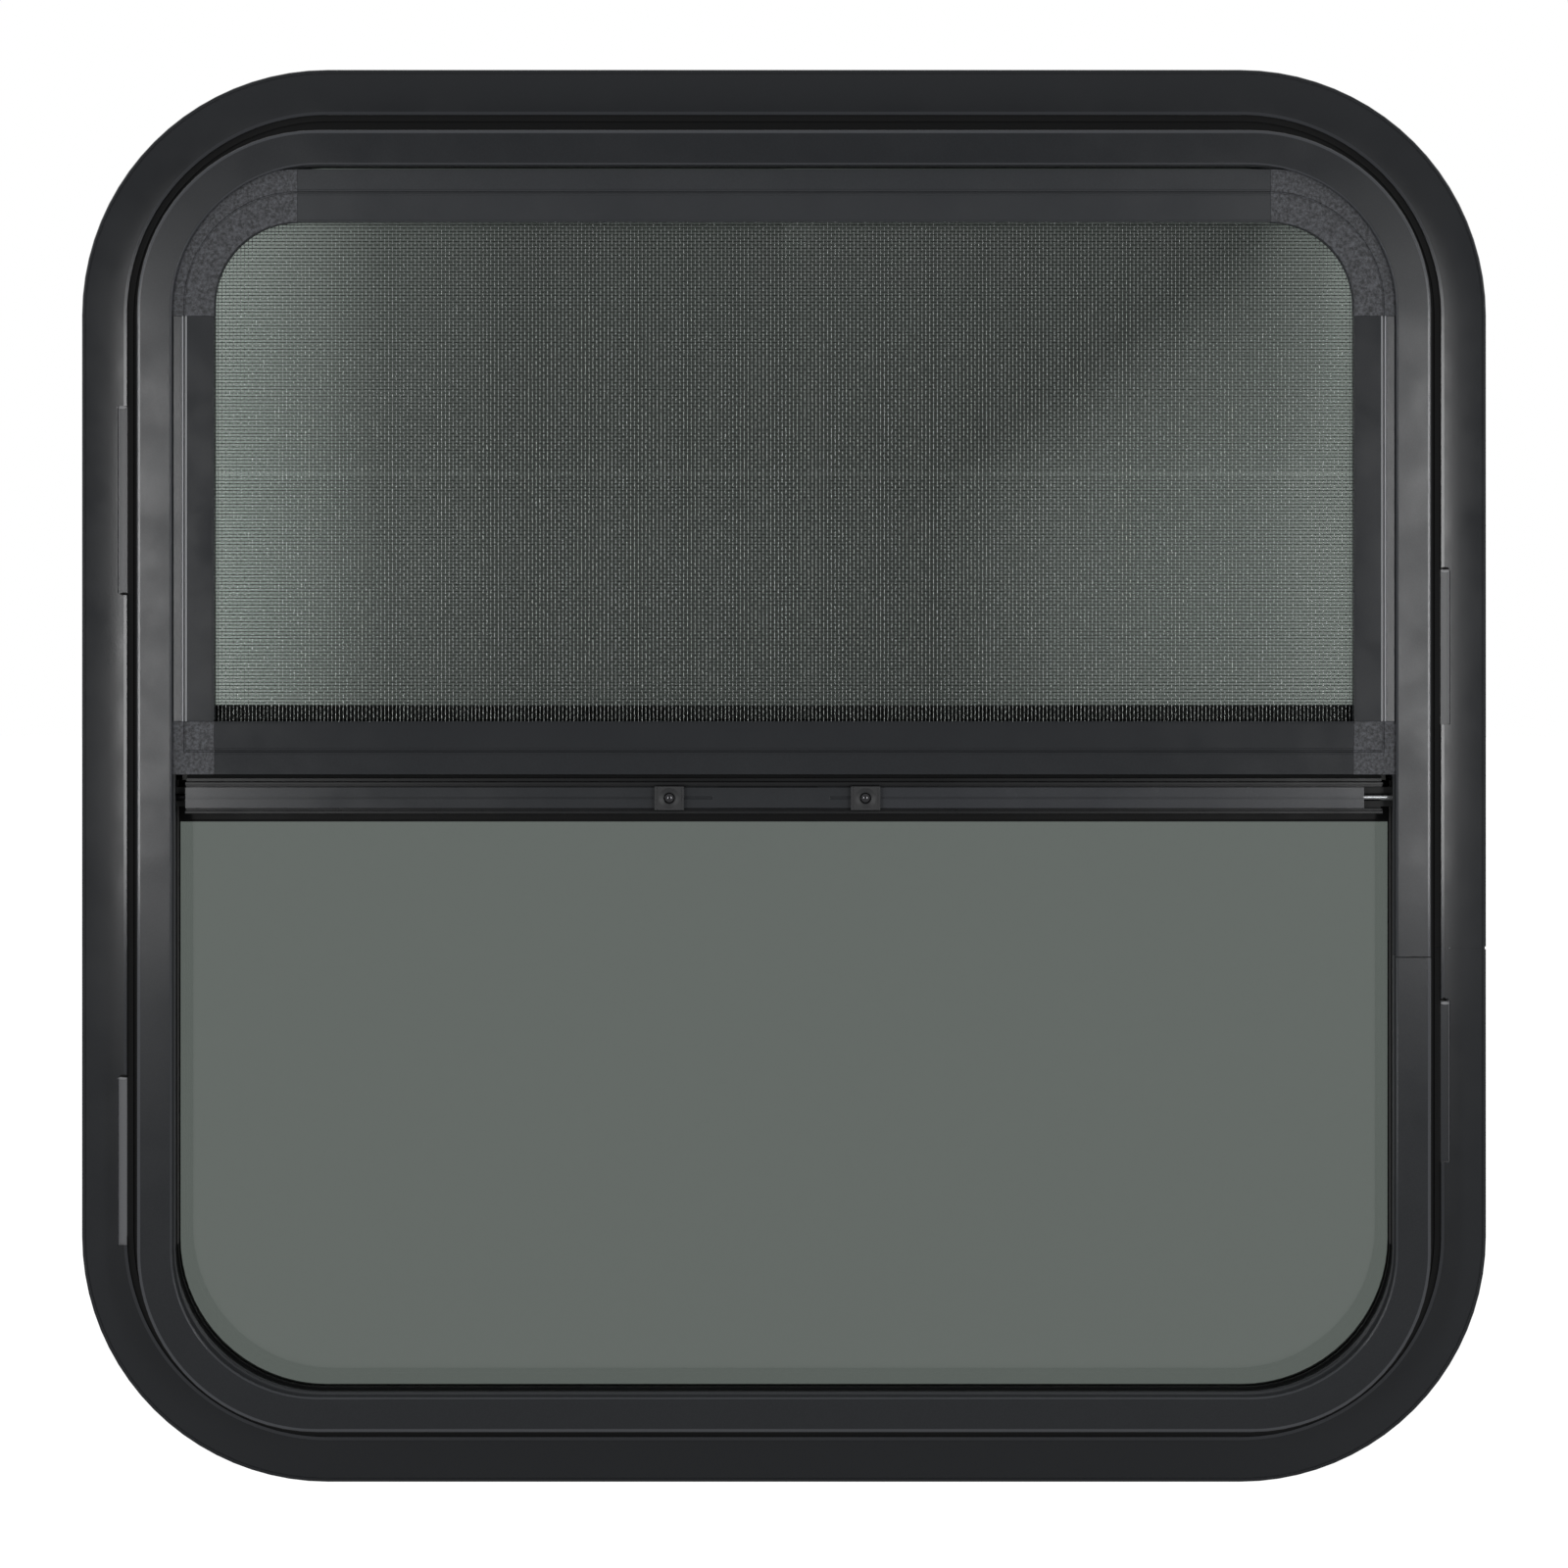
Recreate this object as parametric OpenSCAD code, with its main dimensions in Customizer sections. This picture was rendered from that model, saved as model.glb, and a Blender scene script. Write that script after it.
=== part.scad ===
/* [Frame] */
// Width over the outside of the frame's leg, which passes through the wall
leg_w = 540; // [420:1:800]
// Height over the outside of the frame's leg
leg_h = 543.4; // [440:0.1:800]
// Corner radius of the leg, on its outside
leg_r = 75; // [60:1:110]
// Thickness of the leg's web
leg_t = 1.8; // [1.4:0.1:2.4]
// Thickness of the lip on the room side
lip_t = 1.8; // [1.4:0.1:2.2]
// How far the lip and the rib behind it reach inward from the leg's outside
sight_in = 14.5; // [13:0.1:18]
// How far the ribs of the lower glass's pocket reach inward from the leg's outside
pocket_in = 12; // [11:0.1:13]
// Thickness of the two ribs between the tracks
rib_t = 1.4; // [1:0.1:1.8]
// Thickness of the fin that holds the lower glass on the outside
fin_t = 1.8; // [1.2:0.1:2]
// How far the outside flange reaches past the leg
flange_reach = 30; // [26:0.5:36]
// Thickness of the flange over the sealant recess, with the recess
flange_t = 3.2; // [3:0.1:4]
// Thickness of the flange at its rim
rim_t = 2; // [1.6:0.1:2.6]
// Width of the flange's rounded rim, beyond its seat
rim_w = 2; // [1.6:0.1:3]
// Distance from the leg to the flat seat, over the sealant recess
recess_w = 10.7; // [9:0.1:14]
// Depth of the sealant recess beside the leg
recess_d = 1.8; // [1.2:0.1:2]
// Width of the gap where the two ends of the bent frame meet
butt_gap = 0.4; // [0.2:0.1:0.8]
// Height of that joint above the frame's centre line
butt_y = -73.5; // [-150:0.5:-40]

/* [Tracks] */
// Depth of the outer pocket, which holds the fixed pane and takes up the wall's thickness
pocket = 14; // [13.4:0.1:22]
// Width of the insect screen's slot behind the lip
screen_slot = 7.7; // [7.4:0.1:9]
// Width of the sliding sash's track between the ribs
sash_track = 12.1; // [12:0.1:13]

/* [Glass] */
// Thickness of both panes
glass_t = 4; // [3.6:0.1:4.4]
// Distance from the leg's outside to the edge of the fixed pane
fixed_edge_in = 4; // [3:0.1:5]
// Distance from the leg's outside to the edge of the sliding pane
sash_edge_in = 5; // [4.4:0.1:6]
// How far the rubber gasket shows past the ribs
gasket_show = 0.8; // [0.4:0.1:1.6]

/* [Crossbar] */
// Height of the fixed crossbar's lower edge above the frame's centre
mullion_y = -17.7; // [-24:0.1:-14]
// Height of the fixed crossbar itself
mullion_h = 48.3; // [36:0.1:60]
// Wall of the fixed crossbar
mullion_t = 1.5; // [1:0.1:2]
// Depth of the glass channel in the crossbar's lower edge
mullion_channel = 9.5; // [8:0.1:12]
// How far the glass goes into that channel
glass_bite = 7; // [5:0.1:7.5]
// How far the channel's gasket hangs below the crossbar
mullion_gasket_show = 1; // [0.6:0.1:3]

/* [Sash rail] */
// Height of the sash rail's underside above the frame's centre
rail_y = -14.1; // [-15:0.1:-12]
// Height of the sash rail's channel
rail_h = 13.2; // [13:0.1:15]
// Wall of the sash rail
rail_t = 1.2; // [1:0.1:1.4]
// Gap between the rail's end and the frame's sight line
rail_end_gap = 4.3; // [3:0.1:8]
// Height of the rail's inner glazing fin above the channel
back_fin_h = 4.1; // [3:0.1:5]
// Height of the rail's room-side glazing fin above the channel
front_fin_h = 1.5; // [1:0.1:2.5]
// How far the latch rail stands into the room past the sash track
rail_stand = 2.9; // [2:0.1:3.4]

/* [Latch] */
// Height of the face of the sliding latch bars
bar_h = 8.7; // [7:0.1:9]
// Thickness of the latch bars' face
bar_face_t = 2.4; // [2:0.1:3]
// Thickness of the latch bars' guided base
bar_base_t = 3.4; // [3.2:0.1:3.6]
// Width of the groove along the latch bars
groove_w = 0.9; // [0.6:0.1:1.2]
// Depth of that groove
groove_d = 0.7; // [0.4:0.1:1]
// Length of a latch tab
tab_w = 12.3; // [10:0.1:16]
// Height of a latch tab
tab_h = 10; // [8:0.1:11]
// How far a latch tab stands out from the bars
tab_t = 3.6; // [2.5:0.1:5]
// Distance between the middles of the two latch tabs
tab_span = 82.2; // [60:0.1:120]
// How far the pair of tabs sits to the left of the middle
tab_shift = 6.95; // [0:0.05:15]
// Diameter of the tab screw's head
screw_head_d = 4.6; // [4:0.1:6]
// Diameter of the tab screw's shank
screw_d = 2.6; // [2:0.1:3]
// Diameter of the latch bolts
bolt_d = 3; // [2.4:0.1:3]
// How far the right latch bar's face stops short of the rail's end
bar_right_short = 7.8; // [4:0.1:12]

/* [Insect screen] */
// Width of the screen's frame, face on
screen_bar_w = 22.2; // [19:0.1:25]
// Width of the lower outer band of that frame
screen_band_w = 9.4; // [8:0.1:11]
// Thickness of the screen's frame
screen_t = 7; // [6.6:0.1:7.2]
// How far the screen's sides go in behind the lip
screen_tuck = 4.9; // [3:0.1:6]
// Gap between the lip's edge and the screen's top
screen_top_gap = 1.5; // [0.5:0.1:2.5]
// Height of the screen's underside above the frame's centre
screen_y = 2.6; // [2.2:0.1:8]
// Outer radius of the screen's top corners
screen_r = 56.9; // [45:0.1:70]
// Length of the straight ear below each top corner
screen_ear = 4.5; // [2:0.1:10]
// Width of the groove that holds the mesh cord
spline_w = 3.4; // [3:0.1:3.8]
// Thickness of the mesh
mesh_t = 0.3; // [0.25:0.05:0.4]

/* [Hidden] */
$fn = 96;

// A profile is drawn with x outward from the leg's outside and y toward the room,
// from the wall's outside face.
pocket_d = -0.4;
rib2_d = pocket_d + pocket;
rib1_d = rib2_d + rib_t + sash_track;
lip_back = rib1_d + rib_t + screen_slot;
leg_depth = lip_back + lip_t;
rim_at = flange_reach - rim_t / 2;
seat_mid = (recess_w + flange_reach - rim_w) / 2;
centre_z = leg_h / 2 + seat_mid;
sight_half = leg_w / 2 - sight_in;
sight_top = leg_h / 2 - sight_in;
nose_r = 0.5;
fit = 0.3;

// Shallow reliefs in the seat's inner edge: each starts at a distance over the foot of the
// jamb's straight stretch and has a length. The upper ones hang from that stretch's head.
notch_w = 3.8;
notch_d = 1;
punch_d = 1.8;
punch_deep = 1.6;
straight_half = leg_h / 2 - leg_r;
reliefs_left = [[-3.7, 71.6], [2 * straight_half - 118.7, 80]];
reliefs_right = [[31.7, 69], [2 * straight_half - 174.7, 66]];
// A punched mark at the upper end of the right jamb's lower relief.
punch_y = reliefs_right[0][0] + reliefs_right[0][1] - straight_half + 0.4;
weep_l = 16;
weep_w = 2;
weep_pitch = 150;

// Fixed pane, in the outer pocket.
fixed_d = 4;
fixed_top = mullion_y + glass_bite;
// Sliding pane, in the middle of its track.
sash_d = rib2_d + rib_t + (sash_track - glass_t) / 2;
sash_bottom = rail_y + rail_h + 0.5;
slot_gap = 0.2;
channel_t = 2;

// Wiper strip, set down from the crossbar's head.
pile_down = 5;
pile_w = 7;
pile_foot_t = 1;
brush_w = 4;

// Sash rail, with its back clear of the inner rib.
rail_back = rib2_d + rib_t + 2;
rail_front = rib1_d + rail_stand;
rail_half = sight_half - rail_end_gap;
rail_top = rail_y + rail_h;
rail_mid = rail_y + rail_h / 2;
guide_lip = 0.8;
base_h = rail_h - 2 * rail_t - 2 * fit;
bar_front = rail_front - 0.8;
bar_step = bar_front - bar_face_t;
bar_back = bar_step - bar_base_t;
bolt_depth = bar_back + bar_base_t / 2 + 0.1;
bolt_in_bar = 14;
bolt_reach = sight_half + 4.2;
tab_left_x = -tab_shift - tab_span / 2;
tab_right_x = -tab_shift + tab_span / 2;
cover_in = 0.5;
base_under = 14;
screw_dome = 0.95;
dome_r = 4.3;
dish_r = 16;
dish_d = 0.6;
side_rim_w = 0.9;
side_rim_h = 0.4;
tab_face = bar_front + slot_gap + tab_t - side_rim_h;
tab_seat = tab_face - dish_d - 0.9;

// Where the bent frame's ends meet, the leg and its fins are cut through. The flange is
// closed there, with a fine line across its seat and a nick in its rim.
mark_d = 0.25;
nick_h = 1.2;
nick_w = 0.6;

// Insect screen, in its slot behind the lip.
screen_back = lip_back - fit - screen_t;
screen_half = sight_half + screen_tuck;
screen_top_y = sight_top - screen_top_gap;
band_step = 0.7;
seam_w = 0.8;
seam_d = 1.2;
spline_wall = 1.7;
spline_groove_d = 3.7;
spline_at = screen_bar_w - spline_wall - spline_w / 2;
bead = 0.25;
bead_w = 0.7;
hollow_t = 1.2;
hollow_in = screen_bar_w - spline_wall - spline_w - hollow_t;
hollow_w = hollow_in - hollow_t;
hollow_h = screen_t - seam_d - 2 * hollow_t;
key_gap = 0.15;
key_l = 14;

// The window stands upright, with the room toward -Y.
module place() {
    translate([0, 0, centre_z]) rotate([90, 0, 0]) children();
}

// A profile run upward by a length.
module run(length) {
    translate([0, length, 0]) rotate([90, 0, 0]) linear_extrude(length) children();
}

// A profile turned through a quarter circle.
module bend(radius) {
    rotate_extrude(angle = 90) translate([radius, 0]) children();
}

// A profile run along x, drawn with x upward and y toward the room.
module along(from, to) {
    translate([from, 0, 0]) rotate([90, 0, 90]) linear_extrude(to - from) children();
}

// A profile swept round a closed frame with round corners.
module ring(w, h, radius) {
    for (k = [0:3]) {
        half = (k % 2 == 0) ? w / 2 : h / 2;
        long = (k % 2 == 0) ? h : w;
        rotate(90 * k) {
            translate([half, radius - long / 2, 0]) run(long - 2 * radius) children();
            translate([half - radius, long / 2 - radius, 0]) bend(radius) children();
        }
    }
}

// A profile swept round a U that is open at the top, with its arms up to a height.
module u_sweep(w, h, radius, top) {
    arm = top + h / 2 - radius;
    translate([w / 2, radius - h / 2, 0]) run(arm) children();
    translate([w / 2 - radius, radius - h / 2, 0]) rotate(-90) bend(radius) children();
    rotate(-90) translate([h / 2, radius - w / 2, 0]) run(w - 2 * radius) children();
    translate([radius - w / 2, radius - h / 2, 0]) rotate(180) bend(radius) children();
    rotate(180) translate([w / 2, -top, 0]) run(arm) children();
}

// A pane outline with round corners at its foot and a straight head.
module pane_outline(w, h, radius, top) {
    translate([-w / 2, radius - h / 2]) square([w, top + h / 2 - radius]);
    translate([radius - w / 2, -h / 2]) square([w - 2 * radius, radius + 1]);
    for (side = [-1, 1])
        translate([side * (w / 2 - radius), radius - h / 2]) circle(r = radius);
}

// A fin from the leg inward, with a round nose.
module fin(depth, thick, reach) {
    translate([thick / 2 - reach, depth]) square([reach - leg_t, thick]);
    translate([thick / 2 - reach, depth + thick / 2]) circle(d = thick);
}

module frame_profile() {
    difference() {
        union() {
            translate([-leg_t, -flange_t]) square([leg_t, leg_depth + flange_t - nose_r]);
            translate([-leg_t, leg_depth - 2 * nose_r]) square([leg_t - nose_r, 2 * nose_r]);
            translate([-nose_r, leg_depth - nose_r]) circle(r = nose_r);
            fin(lip_back, lip_t, sight_in);
            fin(rib1_d, rib_t, sight_in);
            fin(rib2_d, rib_t, pocket_in);
            fin(pocket_d - fin_t, fin_t, pocket_in);
            polygon([[-leg_t, -flange_t], [recess_w + 2, -flange_t], [rim_at, -rim_t],
                [rim_at, 0], [-leg_t, 0]]);
            translate([rim_at, -rim_t / 2]) circle(d = rim_t);
        }
        translate([0, -recess_d]) square([recess_w - 2.7, recess_d + 1]);
        translate([0, -recess_d / 2]) square([recess_w, recess_d]);
        translate([flange_reach - rim_w, -0.4]) square([0.5, 1]);
    }
}

// Shallow relief with square ends, from a height over the foot of the straight stretch.
module relief(side, from, length) {
    translate([side * (leg_w / 2 + recess_w + notch_w / 2), from - straight_half, -notch_d])
        translate([-notch_w / 2, 0, 0]) cube([notch_w, length, notch_d + 1]);
}

// Gap between the bent frame's two ends.
module butt_cut() translate([0, butt_y, 0]) {
    past = leg_w / 2 + recess_w;
    translate([sight_half - 1, -butt_gap / 2, -recess_d])
        cube([past - sight_half + 1, butt_gap, leg_depth + recess_d + 1]);
    translate([sight_half - 1, -butt_gap / 2, -flange_t - 1])
        cube([sight_in - leg_t + 1, butt_gap, flange_t + 2]);
    translate([past - 1, -butt_gap / 2, -mark_d])
        cube([flange_reach - recess_w + 2, butt_gap, mark_d + 1]);
    translate([leg_w / 2 + flange_reach - nick_w, -nick_h / 2, -rim_t - 1])
        cube([nick_w + 1, nick_h, rim_t + 2]);
}

module outer_frame() color([0.17, 0.18, 0.19]) place() difference() {
    ring(leg_w, leg_h, leg_r) frame_profile();
    butt_cut();
    for (r = reliefs_left) relief(-1, r[0], r[1]);
    for (r = reliefs_right) relief(1, r[0], r[1]);
    translate([leg_w / 2 + recess_w + punch_d / 2 + 0.3, punch_y, -punch_deep])
        cylinder(d = punch_d, h = punch_deep + 1);
    for (x = [-weep_pitch, 0, weep_pitch])
        translate([x - weep_l / 2, leg_t + 1 - leg_h / 2, pocket_d - fin_t - 1])
            cube([weep_l, weep_w, fin_t + 1.2]);
}

module fixed_glass() color([0.40, 0.43, 0.41]) place()
    translate([0, 0, fixed_d]) linear_extrude(glass_t)
        pane_outline(leg_w - 2 * fixed_edge_in, leg_h - 2 * fixed_edge_in,
            leg_r - fixed_edge_in, fixed_top);

// The gasket fills the outer pocket round the pane, with a nose past the ribs.
module gasket_profile() {
    difference() {
        union() {
            translate([-pocket_in, pocket_d]) square([pocket_in - leg_t, pocket]);
            translate([-pocket_in - gasket_show, fixed_d - 2])
                square([gasket_show + 1, glass_t + 4]);
        }
        translate([-pocket_in - gasket_show - 1, fixed_d])
            square([pocket_in + gasket_show + 1 - fixed_edge_in, glass_t]);
    }
}

module fixed_glass_gasket() color([0.05, 0.06, 0.06]) place()
    u_sweep(leg_w, leg_h, leg_r, mullion_y - mullion_gasket_show - fit)
        gasket_profile();

// Hollow crossbar with a channel in its lower edge for the pane.
module mullion_profile() {
    deep = pocket - 2 * fit;
    wall = mullion_t;
    difference() {
        translate([mullion_y, pocket_d + fit]) square([mullion_h, deep]);
        translate([mullion_y - 1, pocket_d + fit + wall])
            square([mullion_channel + 1, deep - 2 * wall]);
        translate([mullion_y + mullion_channel + wall, pocket_d + fit + wall])
            square([mullion_h - mullion_channel - 2 * wall, deep - 2 * wall]);
    }
}

mullion_half = leg_w / 2 - leg_t - fit;

module mullion() color([0.15, 0.16, 0.17]) place()
    along(-mullion_half, mullion_half) mullion_profile();

module mullion_gasket() color([0.05, 0.06, 0.06]) place()
    along(-mullion_half, mullion_half) difference() {
        translate([mullion_y - mullion_gasket_show, pocket_d + fit + mullion_t])
            square([mullion_channel + mullion_gasket_show, pocket - 2 * fit - 2 * mullion_t]);
        translate([mullion_y - mullion_gasket_show - 1, fixed_d])
            square([mullion_gasket_show + 1 + glass_bite, glass_t]);
    }

// Wiper on the crossbar's room face, which closes the gap to the sliding pane.
module mullion_pile_strip() color([0.07, 0.07, 0.08]) place()
    along(-sight_half + 1, sight_half - 1) {
        foot = rib2_d - fit;
        low = mullion_y + mullion_h - pile_down - pile_w;
        translate([low, foot]) square([pile_w, pile_foot_t]);
        translate([low + (pile_w - brush_w) / 2, foot])
            square([brush_w, sash_d - foot - slot_gap]);
    }

strike_h = 12;
strike_gap = 0.2;

// Lined track of the sliding pane, up both jambs and round the head.
module run_channel() color([0.06, 0.06, 0.07]) place() difference() {
    mirror([0, 1, 0]) u_sweep(leg_w, leg_h, leg_r, leg_h / 2 - leg_r) difference() {
        translate([0.6 - sight_in, rib2_d + rib_t])
            square([sight_in - 0.6 - leg_t, sash_track]);
        translate([-sight_in, sash_d - slot_gap])
            square([sight_in - leg_t - channel_t, glass_t + 2 * slot_gap]);
    }
    for (side = [-1, 1])
        translate([side * (leg_w / 2 - sight_in / 2) - sight_in / 2,
                rail_mid - strike_h / 2 - strike_gap, sash_d + glass_t + slot_gap])
            cube([sight_in, strike_h + 2 * strike_gap, sash_track]);
}

module sash_glass() color([0.30, 0.32, 0.31]) place()
    translate([0, 0, sash_d]) mirror([0, 1, 0]) linear_extrude(glass_t)
        pane_outline(leg_w - 2 * sash_edge_in, leg_h - 2 * sash_edge_in,
            leg_r - sash_edge_in, -sash_bottom);

// Channel open to the room for the latch, with a pocket above it for the pane.
module sash_rail_profile() {
    difference() {
        translate([rail_y, rail_back]) square([rail_h, rail_front - rail_back]);
        translate([rail_y + rail_t, rail_back + rail_t])
            square([rail_h - 2 * rail_t, rail_front - rail_back]);
    }
    for (y = [rail_y + rail_t - 0.1, rail_top - rail_t - guide_lip])
        translate([y, bar_step + fit]) square([guide_lip + 0.1, 1]);
    translate([rail_top - 0.1, rail_back]) square([back_fin_h + 0.1, rail_t]);
    translate([rail_top - 0.1, sash_d + glass_t + 2]) square([front_fin_h + 0.1, rail_t]);
}

module sash_rail() color([0.20, 0.21, 0.22]) place()
    along(-rail_half, rail_half) sash_rail_profile();

module sash_rail_gasket() color([0.05, 0.05, 0.06]) place()
    along(-rail_half, rail_half) {
        translate([rail_top, sash_d + glass_t]) square([front_fin_h, 2]);
        translate([rail_top + front_fin_h, sash_d + glass_t]) square([1.3, 1.6]);
        translate([rail_top, rail_back + rail_t])
            square([back_fin_h - 0.8, sash_d - rail_back - rail_t]);
        translate([rail_top, sash_d]) square([sash_bottom - rail_top, glass_t]);
    }

// Plug behind the latch bar, with a tongue that runs in the jamb's track.
module rail_end_plug(side) color([0.06, 0.06, 0.07]) place() {
    plug_l = 13;
    tongue_t = glass_t;
    low = rail_mid - base_h / 2;
    from = side > 0 ? rail_half - plug_l : -rail_half;
    reach = rail_half + rail_end_gap + sight_in - leg_t - channel_t - 1;
    tongue_from = side > 0 ? rail_half - plug_l : -reach;
    translate([from, low, rail_back + rail_t])
        cube([plug_l, base_h, bar_back - fit - rail_back - rail_t]);
    translate([tongue_from, low + 1, sash_d])
        cube([reach - rail_half + plug_l, base_h - 2, tongue_t - 1]);
}

module rail_end_plug_left() rail_end_plug(-1);
module rail_end_plug_right() rail_end_plug(1);

// Face strip with its groove, over a wider base that the rail guides.
module latch_bar(outer, face_outer, tab_x, side) color([0.22, 0.23, 0.24]) place() difference() {
    face_in = tab_x + side * (tab_w / 2 - 1.5);
    base_in = tab_x - side * (tab_w / 2 + base_under);
    union() {
        translate([min(outer, base_in), rail_mid - base_h / 2, bar_back])
            cube([abs(outer - base_in), base_h, bar_base_t]);
        translate([min(face_outer, face_in), rail_mid - bar_h / 2, bar_step - 0.1])
            cube([abs(face_outer - face_in), bar_h, bar_face_t + 0.1]);
    }
    translate([min(face_outer, face_in) - 1, rail_mid - groove_w / 2, bar_front - groove_d])
        cube([abs(face_outer - face_in) + 2, groove_w, groove_d + 1]);
    translate([outer - side * bolt_in_bar, rail_mid, bolt_depth])
        rotate([0, side * 90, 0]) cylinder(d = bolt_d, h = bolt_in_bar + 1);
    translate([tab_x, rail_mid, bar_back - 1]) cylinder(d = screw_d, h = bar_base_t + 2);
}

right_face_end = rail_half - bar_right_short;

module latch_bar_left() latch_bar(-rail_half, -rail_half, tab_left_x, -1);
module latch_bar_right() latch_bar(right_face_end, right_face_end, tab_right_x, 1);

// Plain cover between the tabs, flush with the bars, with a short groove at each end.
module latch_cover() color([0.19, 0.19, 0.20]) place() {
    from = tab_left_x + tab_w / 2 - cover_in;
    to = tab_right_x - tab_w / 2 + cover_in;
    difference() {
        translate([from, rail_mid - bar_h / 2, bar_step + fit])
            cube([to - from, bar_h, bar_face_t - fit]);
        translate([from - 1, rail_mid - groove_w / 2, bar_front - groove_d])
            cube([tab_w + 1, groove_w, groove_d + 1]);
        translate([to - 0.75 * tab_w, rail_mid - groove_w / 2, bar_front - groove_d])
            cube([0.75 * tab_w + 1, groove_w, groove_d + 1]);
    }
}

// Finger tab with a rim at each side and a dished face, bored for its screw, with a foot
// down to the bar's base.
module latch_tab(x) color([0.19, 0.19, 0.20]) place() translate([x, rail_mid, 0]) difference() {
    union() {
        translate([-tab_w / 2, -tab_h / 2, bar_front + slot_gap])
            cube([tab_w, tab_h, tab_t - side_rim_h]);
        for (from = [-tab_w / 2, tab_w / 2 - side_rim_w])
            translate([from, -tab_h / 2, tab_face - 0.1])
                cube([side_rim_w, tab_h, side_rim_h + 0.1]);
        translate([0, 0, bar_step]) cylinder(d = screw_d + 1.8, h = bar_face_t + 0.3);
    }
    translate([0, 0, bar_step - 1]) cylinder(d = screw_d, h = tab_t + bar_face_t + 2);
    translate([0, 0, tab_seat]) cylinder(d = screw_head_d, h = 3);
    translate([0, 0, tab_face + dish_r - dish_d]) sphere(r = dish_r);
}

module latch_tab_left() latch_tab(tab_left_x);
module latch_tab_right() latch_tab(tab_right_x);

module latch_screws() color([0.10, 0.10, 0.11]) place()
    for (x = [tab_left_x, tab_right_x]) translate([x, rail_mid, 0]) {
        translate([0, 0, bar_back + 0.3]) cylinder(d = screw_d, h = tab_seat - bar_back);
        intersection() {
            translate([0, 0, tab_seat]) cylinder(d = screw_head_d - 0.3, h = screw_dome);
            translate([0, 0, tab_seat + screw_dome - dome_r]) sphere(r = dome_r);
        }
    }

module latch_bolt(outer, side) color([0.55, 0.56, 0.57]) place()
    translate([outer - side * bolt_in_bar, rail_mid, bolt_depth]) rotate([0, side * 90, 0])
        cylinder(d = bolt_d, h = bolt_reach - abs(outer) + bolt_in_bar);

module latch_bolt_left() latch_bolt(-rail_half, -1);
module latch_bolt_right() latch_bolt(right_face_end, 1);

// Keeper in the jamb's track, bored for the latch bolt.
module strike(side) color([0.08, 0.08, 0.09]) place() difference() {
    near = sight_half + 0.6;
    far = leg_w / 2 - leg_t;
    low = sash_d + glass_t + slot_gap;
    translate([side > 0 ? near : -far, rail_mid - strike_h / 2, low])
        cube([far - near, strike_h, rib1_d - low]);
    translate([side * (near - 1), rail_mid, bolt_depth]) rotate([0, side * 90, 0])
        cylinder(d = bolt_d + 0.4, h = far - near);
}

module strike_left() strike(-1);
module strike_right() strike(1);

// Screen frame section: x outward from its outer edge, y from its back toward the room.
// The plastic corners have this solid section, whose bands are plain.
module screen_solid_profile() translate([0, screen_back]) difference() {
    union() {
        translate([-screen_band_w - 1, 0]) square([screen_band_w + 1, screen_t - band_step]);
        translate([-screen_bar_w, 0]) square([screen_bar_w - screen_band_w, screen_t - bead]);
    }
    translate([-screen_band_w - seam_w, screen_t - seam_d]) square([seam_w, seam_d + 1]);
    translate([-screen_bar_w - 1, -1]) square([spline_wall + 1.1, 1 + 0.5]);
    translate([-screen_bar_w + spline_wall, -1]) square([spline_w, spline_groove_d + 1]);
}

// The drawn bars add a bead beside the mesh and one each side of the groove, and are hollow.
module screen_profile() difference() {
    union() {
        screen_solid_profile();
        for (x = [-screen_bar_w, -screen_band_w - seam_w - bead_w])
            translate([x, screen_back + screen_t - 2 * bead]) square([bead_w, 2 * bead]);
        translate([-screen_band_w, screen_back + screen_t - band_step - bead])
            square([bead_w, 2 * bead]);
    }
    translate([-hollow_in, screen_back + hollow_t]) square([hollow_w, hollow_h]);
}

// Tongue of a corner piece, which fills the hollow of the bar beside it.
module corner_key() {
    translate([-hollow_in + key_gap, screen_back + hollow_t + key_gap])
        square([hollow_w - 2 * key_gap, hollow_h - 2 * key_gap]);
}

screen_arc_y = screen_top_y - screen_r;
screen_side_low = screen_y + screen_bar_w;

module screen_top() color([0.20, 0.21, 0.21]) place()
    rotate(90) translate([screen_top_y, screen_r - screen_half, 0])
        run(2 * (screen_half - screen_r)) screen_profile();

module screen_side(side) color([0.26, 0.27, 0.28]) place()
    mirror([side > 0 ? 0 : 1, 0, 0]) translate([screen_half, screen_side_low, 0])
        run(screen_arc_y - screen_ear - screen_side_low) screen_profile();

module screen_left() screen_side(-1);
module screen_right() screen_side(1);

module screen_bottom() color([0.19, 0.19, 0.20]) place()
    rotate(-90) translate([-screen_y, screen_bar_w - screen_half, 0])
        run(2 * (screen_half - screen_bar_w)) screen_profile();

module screen_corner_top(side) color([0.31, 0.31, 0.32]) place()
    mirror([side > 0 ? 0 : 1, 0, 0]) {
        translate([screen_half - screen_r, screen_arc_y, 0])
            bend(screen_r) screen_solid_profile();
        translate([screen_half, screen_arc_y - screen_ear, 0])
            run(screen_ear) screen_solid_profile();
        translate([screen_half, screen_arc_y - screen_ear - key_l, 0])
            run(key_l + 1) corner_key();
        rotate(90) translate([screen_top_y, screen_r - screen_half - 1, 0])
            run(key_l + 1) corner_key();
    }

module screen_corner_top_left() screen_corner_top(-1);
module screen_corner_top_right() screen_corner_top(1);

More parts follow.
